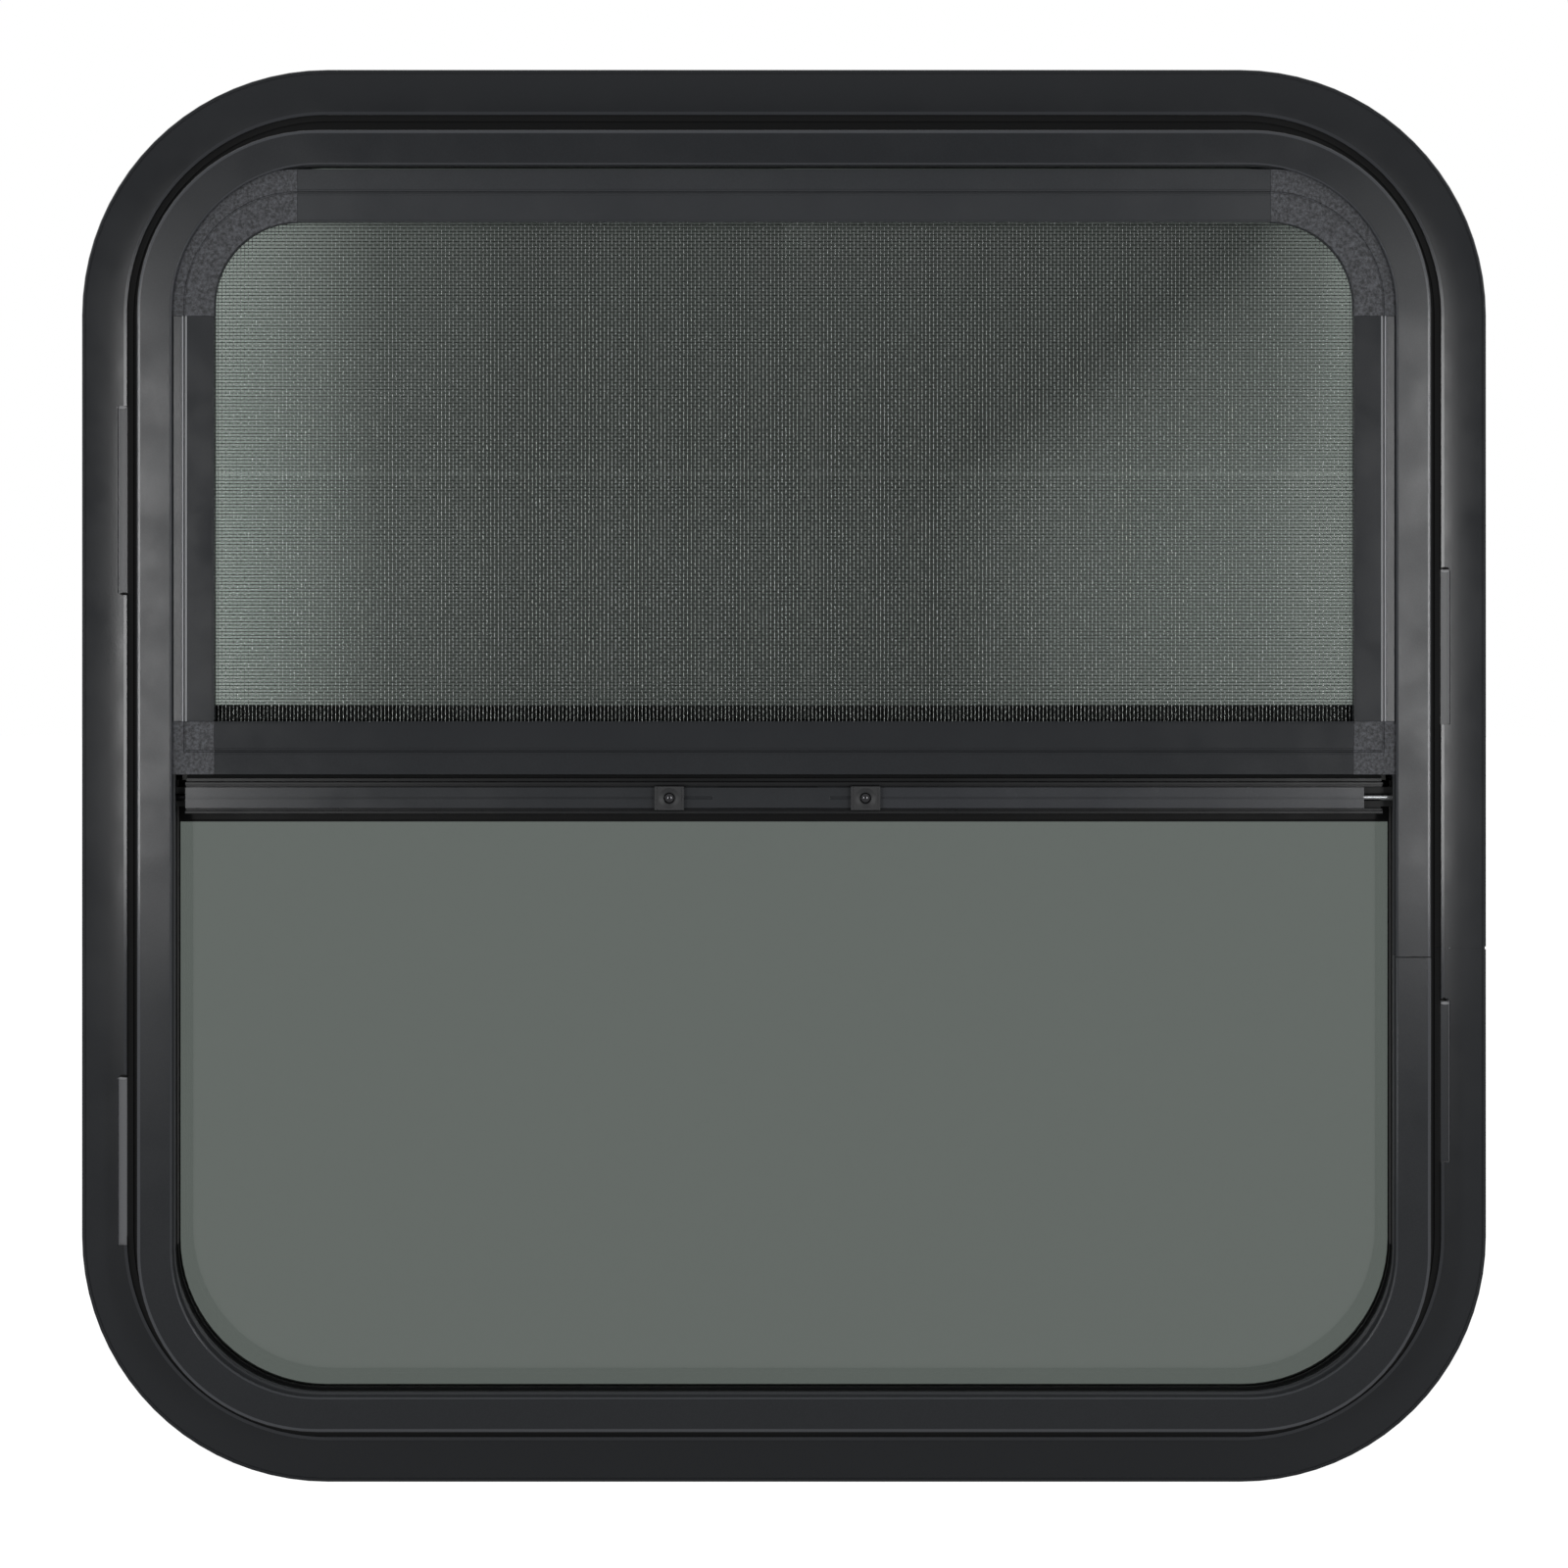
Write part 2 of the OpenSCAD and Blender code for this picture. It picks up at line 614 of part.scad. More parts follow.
// Square corner block, whose bands, groove and cord groove turn the corner in an L.
module screen_corner_bottom(side) color([0.31, 0.31, 0.32]) place()
    mirror([side > 0 ? 0 : 1, 0, 0]) {
        block = screen_bar_w;
        translate([screen_half, screen_y, screen_back]) difference() {
            union() {
                translate([-block, 0, 0]) cube([block, block, screen_t - band_step]);
                translate([-block, screen_band_w, 0])
                    cube([block - screen_band_w, block - screen_band_w, screen_t - bead]);
            }
            translate([-block - 1, screen_band_w, screen_t - seam_d])
                cube([block + 1 - screen_band_w, seam_w, seam_d]);
            translate([-screen_band_w - seam_w, screen_band_w, screen_t - seam_d])
                cube([seam_w, block, seam_d]);
            translate([-block - 1, block - spline_wall - spline_w, -1])
                cube([spline_wall + spline_w + 1, spline_w, spline_groove_d + 1]);
            translate([-block + spline_wall, block - spline_wall - spline_w, -1])
                cube([spline_w, spline_wall + spline_w + 1, spline_groove_d + 1]);
            translate([-block - 1, block - spline_wall, -1])
                cube([spline_wall + 1, block, 1.5]);
        }
        translate([screen_half, screen_side_low - 1, 0]) run(key_l + 1) corner_key();
        rotate(-90) translate([-screen_y, screen_half - block - key_l, 0])
            run(key_l + 1) corner_key();
    }

module screen_corner_bottom_left() screen_corner_bottom(-1);
module screen_corner_bottom_right() screen_corner_bottom(1);

// Rubber cord that presses the mesh's edge into the groove.
module screen_spline() color([0.07, 0.07, 0.07]) place() {
    w = 2 * (screen_half - spline_at);
    cord_r = spline_w / 2 - 0.1;
    top = screen_top_y - spline_at;
    bottom = screen_y + spline_at;
    radius = screen_r - spline_at;
    depth = screen_back + cord_r + 0.4;
    for (side = [0, 1]) mirror([side, 0, 0]) {
        translate([w / 2, bottom, depth]) rotate([-90, 0, 0])
            cylinder(r = cord_r, h = top - radius - bottom);
        translate([w / 2 - radius, top - radius, depth]) bend(radius) circle(r = cord_r);
        translate([w / 2, bottom, depth]) sphere(r = cord_r);
    }
    for (y = [bottom, top])
        translate([-w / 2 + (y == top ? radius : 0), y, depth]) rotate([0, 90, 0])
            cylinder(r = cord_r, h = w - (y == top ? 2 * radius : 0));
}

// Woven mesh as one thin sheet, from groove to groove.
module screen_mesh() color([0.33, 0.35, 0.34]) place() {
    edge = screen_bar_w - spline_wall + 0.1;
    w = 2 * (screen_half - edge);
    top = screen_top_y - edge;
    bottom = screen_y + edge;
    radius = screen_r - edge;
    translate([0, 0, screen_back + 0.5 - mesh_t]) linear_extrude(mesh_t) {
        translate([-w / 2, bottom]) square([w, top - radius - bottom]);
        translate([radius - w / 2, top - radius - 1]) square([w - 2 * radius, radius + 1]);
        for (side = [-1, 1]) translate([side * (w / 2 - radius), top - radius]) circle(r = radius);
    }
}

outer_frame();
fixed_glass();
fixed_glass_gasket();
mullion();
mullion_gasket();
mullion_pile_strip();
run_channel();
sash_glass();
sash_rail();
sash_rail_gasket();
rail_end_plug_left();
rail_end_plug_right();
latch_bar_left();
latch_bar_right();
latch_cover();
latch_tab_left();
latch_tab_right();
latch_screws();
latch_bolt_left();
latch_bolt_right();
strike_left();
strike_right();
screen_top();
screen_left();
screen_right();
screen_bottom();
screen_corner_top_left();
screen_corner_top_right();
screen_corner_bottom_left();
screen_corner_bottom_right();
screen_spline();
screen_mesh();
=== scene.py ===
"""Looks of a caravan window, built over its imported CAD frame."""

import logging
import math
from dataclasses import dataclass
from enum import Enum

import bmesh
import bpy
from mathutils import Matrix, Vector


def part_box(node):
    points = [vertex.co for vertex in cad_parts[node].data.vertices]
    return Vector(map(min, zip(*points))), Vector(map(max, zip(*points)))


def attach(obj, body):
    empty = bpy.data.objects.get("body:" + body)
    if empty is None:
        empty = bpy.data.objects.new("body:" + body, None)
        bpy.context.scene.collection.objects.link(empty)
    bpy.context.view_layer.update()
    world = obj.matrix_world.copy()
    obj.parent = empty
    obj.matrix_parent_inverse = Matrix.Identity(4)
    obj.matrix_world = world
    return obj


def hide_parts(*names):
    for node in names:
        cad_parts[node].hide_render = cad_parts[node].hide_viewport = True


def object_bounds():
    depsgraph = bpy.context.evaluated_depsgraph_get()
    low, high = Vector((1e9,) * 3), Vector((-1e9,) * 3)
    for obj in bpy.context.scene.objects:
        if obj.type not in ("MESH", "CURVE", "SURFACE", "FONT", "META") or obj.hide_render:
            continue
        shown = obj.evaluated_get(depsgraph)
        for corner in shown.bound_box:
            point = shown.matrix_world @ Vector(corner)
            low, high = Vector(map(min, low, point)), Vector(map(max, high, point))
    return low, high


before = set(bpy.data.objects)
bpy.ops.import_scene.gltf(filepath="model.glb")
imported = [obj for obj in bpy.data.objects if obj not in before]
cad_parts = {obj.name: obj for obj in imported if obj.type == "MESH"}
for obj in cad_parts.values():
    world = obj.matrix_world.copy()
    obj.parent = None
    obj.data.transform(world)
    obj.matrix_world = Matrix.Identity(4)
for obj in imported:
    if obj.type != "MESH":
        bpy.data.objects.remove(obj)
CAD_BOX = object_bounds()

log = logging.getLogger("caravan_window")

MM = 0.001
INCH_MM = 25.4
BODY = "root"
WHITE = (1, 1, 1, 1)

Node = bpy.types.Node
Socket = bpy.types.NodeSocket
Tree = bpy.types.NodeTree
Colour = tuple[float, float, float, float]
Span = tuple[float, float]
Spot = tuple[float, float]
Film = tuple[Socket, Socket, Socket]


class Side(Enum):
    """Which side of the window a piece is on, as seen from the room."""

    LEFT = -1
    RIGHT = 1


class Lay(Enum):
    """Which way a run of threads lies in the weave."""

    WARP = "upright"
    WEFT = "level"


def srgb(code: str) -> Colour:
    """Turns an sRGB hex colour into the linear colour that a shader reads.

    Args:
        code: The colour as six hex digits.

    Returns:
        The linear red, green, blue and an alpha of 1.
    """
    parts = [int(code[i:i + 2], 16) / 255 for i in (0, 2, 4)]
    linear = [p / 12.92 if p <= 0.04045 else ((p + 0.055) / 1.055) ** 2.4 for p in parts]
    return (*linear, 1.0)


def scaled(colour: Colour, by: float) -> Colour:
    """Gives a linear colour made lighter or darker, with an alpha of 1."""
    return tuple(min(1.0, c * by) for c in colour[:3]) + (1.0,)


def add_node(tree: Tree, kind: str, inputs: dict | None = None, **settings: object) -> Node:
    """Adds a node, sets its options and sets or links its inputs.

    Args:
        tree: The node tree that gets the node.
        kind: Blender's name of the node's type.
        inputs: A value or a socket for each input, by the input's name or number.
        settings: The node's own options.

    Returns:
        The new node.
    """
    node = tree.nodes.new(kind)
    for name, value in settings.items():
        setattr(node, name, value)
    for key, value in (inputs or {}).items():
        if isinstance(value, Socket):
            tree.links.new(value, node.inputs[key])
        else:
            node.inputs[key].default_value = value
    return node


def calc(tree: Tree, operation: str, *values: Socket | float, clamp: bool = False) -> Socket:
    """Adds a sum on numbers.

    Args:
        tree: The node tree that gets the node.
        operation: Blender's name of the sum.
        values: A number or a socket for each input, in order.
        clamp: Whether the result is kept between 0 and 1.

    Returns:
        The socket of the result.
    """
    return add_node(tree, "ShaderNodeMath", dict(enumerate(values)), operation=operation,
                    use_clamp=clamp).outputs[0]


def vector_calc(tree: Tree, operation: str, *values: object) -> Node:
    """Adds a sum on vectors, with a value or a socket for each input in order."""
    return add_node(tree, "ShaderNodeVectorMath", dict(enumerate(values)), operation=operation)


def spread(tree: Tree, value: Socket, source: Span, target: Span = (0.0, 1.0)) -> Socket:
    """Spreads one span of a value over another, and stops at its ends.

    Args:
        tree: The node tree that gets the node.
        value: The socket of the value.
        source: The span that is read.
        target: The span that is given.

    Returns:
        The socket of the result.
    """
    return add_node(tree, "ShaderNodeMapRange",
                    {"Value": value, "From Min": source[0], "From Max": source[1],
                     "To Min": target[0], "To Max": target[1]}).outputs["Result"]


def mix_levels(tree: Tree, factor: Socket, low: Socket | float,
               high: Socket | float) -> Socket:
    """Mixes two numbers, from low at a factor of 0 to high at 1."""
    return add_node(tree, "ShaderNodeMix", {"Factor": factor, 2: low, 3: high}).outputs[0]


def mix_colours(tree: Tree, factor: Socket, low: Socket | Colour,
                high: Socket | Colour) -> Socket:
    """Mixes two colours, from low at a factor of 0 to high at 1."""
    return add_node(tree, "ShaderNodeMix", {"Factor": factor, 6: low, 7: high},
                    data_type="RGBA").outputs[2]


def noise(tree: Tree, place: Socket, size_mm: float, detail: float,
          roughness: float = 0.5) -> Socket:
    """Adds a noise over the piece.

    Args:
        tree: The node tree that gets the node.
        place: The place on the piece.
        size_mm: How far across its features are, about.
        detail: How many finer layers it has.
        roughness: How strong its finer layers are.

    Returns:
        The socket of the noise, round a middle of 0.5.
    """
    return add_node(tree, "ShaderNodeTexNoise",
                    {"Vector": place, "Scale": 1 / (size_mm * MM), "Detail": detail,
                     "Roughness": roughness}).outputs["Fac"]


def bump(tree: Tree, height: Socket, depth: float, strength: float = 1.0,
         under: Socket | None = None, invert: bool = False) -> Socket:
    """Adds a relief to the shading.

    Args:
        tree: The node tree that gets the node.
        height: The socket of the relief's height.
        depth: How deep a height of 1 is, in metres.
        strength: How much of the relief shows.
        under: The normal that it is laid over, if any.
        invert: Whether the relief goes inward.

    Returns:
        The socket of the normal.
    """
    inputs = {"Height": height, "Strength": strength, "Distance": depth}
    if under is not None:
        inputs["Normal"] = under
    return add_node(tree, "ShaderNodeBump", inputs, invert=invert).outputs["Normal"]


def start_material(name: str) -> tuple[bpy.types.Material, Tree]:
    """Makes an empty node material and gives it with its tree."""
    material = bpy.data.materials.new(name)
    material.use_nodes = True
    material.node_tree.nodes.clear()
    return material, material.node_tree


def piece_place(tree: Tree) -> Socket:
    """Gives the place on the piece, in the piece's own coordinates."""
    return add_node(tree, "ShaderNodeTexCoord").outputs["Object"]


def close_material(tree: Tree, shader: Node) -> None:
    """Links a shader to the material's output."""
    add_node(tree, "ShaderNodeOutputMaterial", {"Surface": shader.outputs[0]})


def cover(tree: Tree, inputs: dict) -> None:
    """Gives the material a principled surface with these inputs."""
    close_material(tree, add_node(tree, "ShaderNodeBsdfPrincipled", inputs))


@dataclass(frozen=True)
class PowderCoat:
    """Satin polyester powder coat on drawn aluminium."""

    name: str
    colour: str
    roughness: float = 0.40
    specular: float = 0.25
    smoother: float = 0.04
    rougher: float = 0.05
    peel_mm: float = 1.3
    peel_depth_mm: float = 0.006
    grit_mm: float = 0.35
    grit_depth_mm: float = 0.004
    grit_strength: float = 0.35
    grit_span: Span = (0.35, 0.75)
    grit_share: float = 0.8
    cloud_mm: float = 28.0
    cloud_roughness: float = 0.6
    cloud_span: Span = (0.3, 0.7)
    mottle: float = 0.12

    def build(self) -> bpy.types.Material:
        """Builds the coat's material.

        Returns:
            The material.
        """
        # Orange peel breaks up the sheen, and a finer grit gives the dull satin sparkle.
        material, tree = start_material(self.name)
        place = piece_place(tree)
        colour, gloss, normal = self.film(tree, place)
        cover(tree, {"Base Color": colour, "Roughness": gloss,
                     "Specular IOR Level": self.specular, "Normal": normal})
        return material

    def film(self, tree: Tree, place: Socket) -> Film:
        """Builds the coat's film.

        Args:
            tree: The material's node tree.
            place: The place on the piece.

        Returns:
            The sockets of its colour, roughness and normal.
        """
        peel = noise(tree, place, self.peel_mm, detail=2.0)
        # Grit is really about 0.1 mm, and is drawn coarser so that it shows.
        grit = noise(tree, place, self.grit_mm, detail=1.0)
        cloud = noise(tree, place, self.cloud_mm, detail=3.0, roughness=self.cloud_roughness)
        gloss = spread(tree, cloud, self.cloud_span,
                       (self.roughness - self.smoother, self.roughness + self.rougher))
        dark = srgb(self.colour)
        speck = spread(tree, grit, self.grit_span, (0.0, self.grit_share))
        colour = mix_colours(tree, speck, dark, scaled(dark, 1 + 2 * self.mottle))
        fine = bump(tree, grit, self.grit_depth_mm * MM, self.grit_strength)
        wavy = bump(tree, peel, self.peel_depth_mm * MM, under=fine)
        return colour, gloss, wavy


@dataclass(frozen=True)
class FlangedFrameCoat(PowderCoat):
    """The frame's coat, with the flange's crown, painted shade in its recess, and painted
    highlights, sheen and shadow marks.

    Distances are outside the leg's outer face, and depths go outdoors from the wall seat.
    A mask ends skin_mm or clear_mm beside a face's own end, so that it doesn't split it.
    """

    flange_mm: float = 30.0
    leg_r_mm: float = 75.0
    recess_mm: float = 10.7
    bead_mm: float = 1.3
    crown_mm: float = 1.1
    crown_power: float = 1.6
    relief_mm: float = 14.5
    relief_edge_mm: float = 0.45
    edge_mm: float = 1.3
    lip_mm: float = 14.6
    lip_edge_mm: float = 0.8
    inside_mm: Span = (-20.0, -2.0)
    inside_deep_mm: Span = (-35.9, 0.0)
    lip_deep_mm: Span = (-39.0, -36.8)
    flange_deep_mm: Span = (-1.0, 2.5)
    seat_deep_mm: Span = (-1.0, 0.3)
    relief_deep_mm: Span = (0.3, 1.7)
    relief_edge_deep_mm: Span = (0.05, 1.7)
    skin_mm: float = 0.05
    clear_mm: float = 0.1
    strongest_sheen_below_mm: float = 250.0
    mark_high_mm: float = 1.2
    mark_squash: float = 0.32
    # Short bright marks painted on the flange, as painted highlights.
    painted_highlight_marks_mm: tuple[Spot, ...] = (
        (-282.8, 161.8), (282.6, 193.9), (282.6, 378.6), (-283.0, 448.5))
    # Dark spots painted on the flange, as painted shadows.
    painted_shadow_marks_mm: tuple[Spot, ...] = (
        (281.9, 195.5), (282.3, 379.7), (-281.8, 368.8), (-281.9, 162.9))

    def outward(self, tree: Tree, place: Socket) -> Socket:
        """Measures how far a point is outside the frame's leg.

        Args:
            tree: The material's node tree.
            place: The place on the frame.

        Returns:
            The socket of that distance, in millimetres.
        """
        low, high = CAD_BOX
        half = (high - low) / 2
        inset = (self.flange_mm + self.leg_r_mm) * MM
        steps = (("SUBTRACT", (low + high) / 2), ("MULTIPLY", (1, 0, 1)), ("ABSOLUTE",),
                 ("SUBTRACT", (half.x - inset, 0, half.z - inset)), ("MAXIMUM", (0, 0, 0)))
        spot = place
        for operation, *other in steps:
            spot = vector_calc(tree, operation, spot, *other).outputs[0]
        reach = vector_calc(tree, "LENGTH", spot).outputs["Value"]
        return calc(tree, "MULTIPLY_ADD", reach, 1 / MM, -self.leg_r_mm)

    def zone(self, tree: Tree, out: Socket, depth: Socket, across: Span,
             deep: Span) -> Socket:
        """Masks a band of the section, by its distance outside the leg and its depth.

        Args:
            tree: The material's node tree.
            out: The distance outside the leg, in millimetres.
            depth: The place's Y.
            across: The band's ends outside the leg, in millimetres.
            deep: The band's ends in depth, in millimetres.

        Returns:
            The socket of the mask.
        """
        over = calc(tree, "COMPARE", out, sum(across) / 2, (across[1] - across[0]) / 2)
        within = calc(tree, "COMPARE", depth, sum(deep) / 2 * MM,
                      (deep[1] - deep[0]) / 2 * MM)
        return calc(tree, "MULTIPLY", over, within)

    def strongest_painted_sheen(self, tree: Tree, parts: Node, relief: Socket) -> Socket:
        """Masks the left jamb's lower relief, which gets the strongest painted sheen.

        Args:
            tree: The material's node tree.
            parts: The node that splits the place.
            relief: The mask of the reliefs.

        Returns:
            The socket of the mask.
        """
        left = calc(tree, "LESS_THAN", parts.outputs["X"], 0.0)
        low = calc(tree, "LESS_THAN", parts.outputs["Z"], self.strongest_sheen_below_mm * MM)
        return calc(tree, "MULTIPLY", calc(tree, "MULTIPLY", left, low), relief)

    def marks(self, tree: Tree, place: Socket, depth: Socket,
              spots: tuple[Spot, ...]) -> Socket:
        """Masks short level marks on the flange's room side.

        Args:
            tree: The material's node tree.
            place: The place on the frame.
            depth: The place's Y.
            spots: Each mark's middle, as its X and Z in millimetres.

        Returns:
            The socket of the mask.
        """
        # Squashed places make a round spot into a mark about three times as long as high.
        squash = self.mark_squash
        flat = vector_calc(tree, "MULTIPLY", place, (squash, 0, 1)).outputs[0]
        away = [vector_calc(tree, "DISTANCE", flat, (x * squash * MM, 0, z * MM))
                for x, z in spots]
        nearest = away[0].outputs["Value"]
        for other in away[1:]:
            nearest = calc(tree, "MINIMUM", nearest, other.outputs["Value"])
        inside = calc(tree, "LESS_THAN", nearest, self.mark_high_mm / 2 * MM)
        room_side = calc(tree, "LESS_THAN", depth, self.flange_deep_mm[1] * MM)
        return calc(tree, "MULTIPLY", inside, room_side)

    def film(self, tree: Tree, place: Socket) -> Film:
        """Builds the frame's film.

        Args:
            tree: The material's node tree.
            place: The place on the frame.

        Returns:
            The sockets of its colour, roughness and normal.
        """
        # The flange's outer part leans back a little, so its sheen fades toward the rim.
        # The recess is painted near black as painted shade, with a duller film. The bead and
        # the lip's edges have a smoother film and are painted lighter as painted highlights,
        # and the leg's inner side is painted lighter as painted light. The reliefs are painted
        # lighter as a painted sheen, the left lower one most. Their edges and ends and the
        # short bright marks are painted highlights, and the dark spots are painted shadows.
        colour, gloss, normal = super().film(tree, place)
        out = self.outward(tree, place)
        parts = add_node(tree, "ShaderNodeSeparateXYZ", {0: place})
        depth = parts.outputs["Y"]
        seat, foot, lip = self.recess_mm, self.relief_mm, self.lip_mm
        skin, clear = self.skin_mm, self.clear_mm
        bands = (
            # Recess: painted shade, near black, with a duller film.
            ((skin, seat - clear), self.flange_deep_mm, "0A0B0C", 0.62),
            # Bead: a smoother film, painted lighter as a painted highlight.
            ((seat, seat + self.bead_mm), self.seat_deep_mm, "46484C", 0.13),
            # Lip's outer edge: a smoother film, painted lighter as a painted highlight.
            ((-self.edge_mm, skin), self.lip_deep_mm, "54565A", 0.11),
            # Lip's inner edge: a smoother film, painted lighter as a painted highlight.
            ((-lip, self.lip_edge_mm - lip), self.lip_deep_mm, "4A4C50", 0.12),
            # Inner side of the leg: painted lighter, as painted light in the lip's shade.
            (self.inside_mm, self.inside_deep_mm, "47494C", 0.3))
        relief = self.zone(tree, out, depth, (seat + clear, foot + clear),
                           self.relief_deep_mm)
        relief_edge = self.zone(tree, out, depth, (foot - self.relief_edge_mm, foot + clear),
                                self.relief_edge_deep_mm)
        zones = [(self.zone(tree, out, depth, across, deep), shade, roughness)
                 for across, deep, shade, roughness in bands]
        zones += [
            # Reliefs: painted lighter as a painted sheen.
            (relief, "404246", 0.22),
            # Left jamb's lower relief: painted much lighter, as a stronger painted sheen.
            (self.strongest_painted_sheen(tree, parts, relief), "8E8F92", 0.24),
            # Relief edges and ends: painted light, as painted highlights.
            (relief_edge, "8E9094", 0.24),
            # Short bright marks: painted highlights.
            (self.marks(tree, place, depth, self.painted_highlight_marks_mm), "B4B5B8", 0.3),
            # Dark spots: painted shadows.
            (self.marks(tree, place, depth, self.painted_shadow_marks_mm), "050505", 0.6)]
        for mask, shade, roughness in zones:
            gloss = mix_levels(tree, mask, gloss, roughness)
            colour = mix_colours(tree, mask, colour, srgb(shade))
        across_flange = spread(tree, out, (self.recess_mm + self.bead_mm, self.flange_mm))
        slope = calc(tree, "POWER", across_flange, self.crown_power)
        crown = bump(tree, slope, self.crown_mm * MM, under=normal, invert=True)
        return colour, gloss, crown


@dataclass(frozen=True)
class ScreenBarCoat(PowderCoat):
    """The screen bars' coat, whose inner band faces a little toward the middle."""

    band_at_mm: float = 250.4
    seam_off_mm: float = 0.2
    bead_mm: float = 0.35
    bead_apart_mm: float = 0.75
    # Colour painted on the beads beside the seam, as painted highlights.
    bead_highlight_colour: str = "A2A4A8"
    lean: float = 0.03

    def film(self, tree: Tree, place: Socket) -> Film:
        """Builds the bars' film.

        Args:
            tree: The material's node tree.
            place: The place on the bar.

        Returns:
            The sockets of its colour, roughness and normal.
        """
        # Drawn faces aren't quite flat, so the inner band dims before the outer one does.
        # The beads beside the seam are painted lighter as painted highlights.
        colour, gloss, normal = super().film(tree, place)
        parts = add_node(tree, "ShaderNodeSeparateXYZ", {0: place})
        out = calc(tree, "ABSOLUTE", parts.outputs["X"])
        rise = calc(tree, "MINIMUM", out, self.band_at_mm * MM)
        leaning = bump(tree, rise, self.lean, under=normal)
        from_seam = calc(tree, "SUBTRACT", out, self.band_at_mm * MM + self.seam_off_mm * MM)
        bead = calc(tree, "COMPARE", calc(tree, "ABSOLUTE", from_seam),
                    self.bead_apart_mm * MM, self.bead_mm * MM)
        return mix_colours(tree, bead, colour, srgb(self.bead_highlight_colour)), gloss, leaning


@dataclass(frozen=True)
class MouldedPlastic:
    """Injection-moulded nylon with a spark-eroded grain."""

    name: str
    colour: str
    roughness: float = 0.55
    grain_mm: float = 0.45
    grain_depth_mm: float = 0.02
    grain_strength: float = 0.8
    grain_roughness: float = 0.7
    crest_span: Span = (0.35, 0.7)
    fleck: float = 1.35

    def build(self) -> bpy.types.Material:
        """Builds the plastic's material.

        Returns:
            The material.
        """
        # Even, sandy grain that scatters the sheen and greys the black.
        material, tree = start_material(self.name)
        place = piece_place(tree)
        grain = noise(tree, place, self.grain_mm, detail=2.0, roughness=self.grain_roughness)
        dark = srgb(self.colour)
        crest = spread(tree, grain, self.crest_span)
        colour = mix_colours(tree, crest, dark, scaled(dark, self.fleck))
        rough = bump(tree, grain, self.grain_depth_mm * MM, self.grain_strength)
        cover(tree, {"Base Color": colour, "Roughness": self.roughness, "Normal": rough})
        return material


@dataclass(frozen=True)
class ExtrudedRubber:
    """Black EPDM rubber with faint die lines."""

    name: str
    colour: str = "090A0B"
    roughness: float = 0.6
    specular: float = 0.2
    line_mm: float = 0.4
    line_depth_mm: float = 0.01
    line_strength: float = 0.4
    bloom_mm: float = 9.0
    bloom_span: Span = (0.45, 0.8)
    bloom: float = 2.2

    def build(self) -> bpy.types.Material:
        """Builds the rubber's material.

        Returns:
            The material.
        """
        # Nearly black and matte, with a dusty bloom that lifts it in patches.
        material, tree = start_material(self.name)
        place = piece_place(tree)
        patches = noise(tree, place, self.bloom_mm, detail=4.0)
        lines = noise(tree, place, self.line_mm, detail=1.0)
        black = srgb(self.colour)
        lift = spread(tree, patches, self.bloom_span)
        colour = mix_colours(tree, lift, black, scaled(black, self.bloom))
        relief = bump(tree, lines, self.line_depth_mm * MM, self.line_strength)
        cover(tree, {"Base Color": colour, "Roughness": self.roughness,
                     "Specular IOR Level": self.specular, "Normal": relief})
        return material


@dataclass(frozen=True)
class FlockedPile:
    """Black flock that lines the track and the wiper strip."""

    name: str
    colour: str = "101011"
    roughness: float = 0.95
    fibre_mm: float = 0.25
    fibre_depth_mm: float = 0.08
    tips: float = 2.0
    sheen: float = 0.15
    sheen_roughness: float = 0.5

    def build(self) -> bpy.types.Material:
        """Builds the flock's material.

        Returns:
            The material.
        """
        # Velvet: no gloss, with a soft sheen where it is seen edge on.
        material, tree = start_material(self.name)
        place = piece_place(tree)
        fibre = noise(tree, place, self.fibre_mm, detail=2.0)
        black = srgb(self.colour)
        colour = mix_colours(tree, fibre, black, scaled(black, self.tips))
        relief = bump(tree, fibre, self.fibre_depth_mm * MM)
        cover(tree, {"Base Color": colour, "Roughness": self.roughness,
                     "Sheen Weight": self.sheen, "Sheen Roughness": self.sheen_roughness,
                     "Normal": relief})
        return material


@dataclass(frozen=True)
class TintedGlass:
    """Toughened float glass with a grey-green body tint."""

    name: str
    tint: str
    roughness: float = 0.0
    ior: float = 1.52
    roll_mm: float = 120.0
    roll_depth_mm: float = 0.02
    roll_strength: float = 0.1

    def build(self) -> bpy.types.Material:
        """Builds the glass's material.

        Returns:
            The material.
        """
        # Clear and flat, with the very slight roll of toughened panes in its reflections.
        material, tree = start_material(self.name)
        place = piece_place(tree)
        roll = noise(tree, place, self.roll_mm, detail=1.0)
        relief = bump(tree, roll, self.roll_depth_mm * MM, self.roll_strength)
        cover(tree, {"Base Color": srgb(self.tint), "Roughness": self.roughness,
                     "IOR": self.ior, "Transmission Weight": 1.0, "Normal": relief})
        return material


@dataclass(frozen=True)
class PlatedSteel:
    """Zinc-plated or blackened steel of turned and drawn small parts."""

    name: str
    colour: str
    roughness: float = 0.32
    mark_mm: float = 0.5
    mark_span: Span = (0.3, 0.7)
    smoother: float = 0.8
    rougher: float = 1.25

    def build(self) -> bpy.types.Material:
        """Builds the steel's material.

        Returns:
            The material.
        """
        # Small bright parts with fine handling marks in their gloss.
        material, tree = start_material(self.name)
        place = piece_place(tree)
        marks = noise(tree, place, self.mark_mm, detail=3.0)
        gloss = spread(tree, marks, self.mark_span,
                       (self.roughness * self.smoother, self.roughness * self.rougher))
        cover(tree, {"Base Color": srgb(self.colour), "Metallic": 1.0, "Roughness": gloss})
        return material


